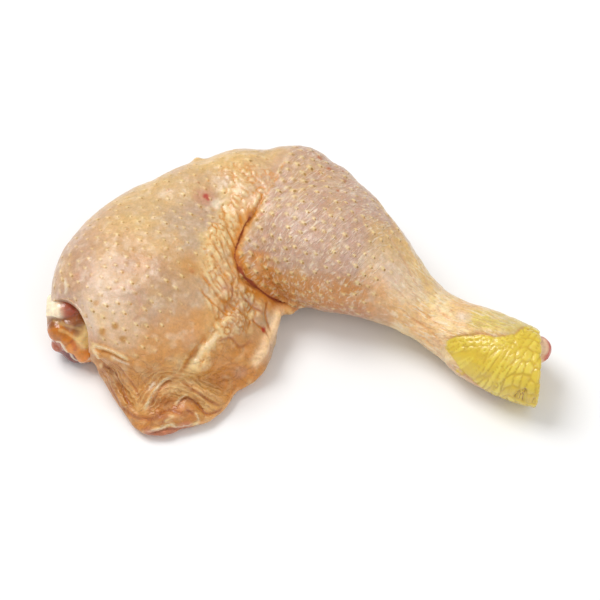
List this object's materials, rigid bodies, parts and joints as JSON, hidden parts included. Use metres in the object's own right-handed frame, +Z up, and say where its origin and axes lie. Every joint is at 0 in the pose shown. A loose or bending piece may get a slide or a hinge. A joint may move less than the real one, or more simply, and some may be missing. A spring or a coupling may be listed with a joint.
{
  "type": "raw whole chicken leg",
  "caption": "Raw chicken leg, thigh and drumstick in one piece with the skin on, bent at the knee, with a loose apron of skin, flesh at the hip cut and a scaled yellow hock.",
  "frame": {"origin": "centre of the bounding box in plan, on the plane the leg lies on", "axes": "+X from the thigh towards the hock, +Z up, away from the surface the leg lies on"},
  "size_m": [0.1996, 0.1226, 0.0478],
  "materials": {
    "chicken_skin": "moist satin skin; leather stands in for raw chicken skin",
    "flesh_and_fat": "wet gloss; rubber stands in for raw flesh and fat",
    "bone_and_cartilage": "wet satin; ceramic stands in for bone and cartilage"
  },
  "bodies": {
    "root": {"leg": "chicken_skin", "hip_flesh": "flesh_and_fat", "shank_bone": "bone_and_cartilage"}
  },
  "joints": []
}
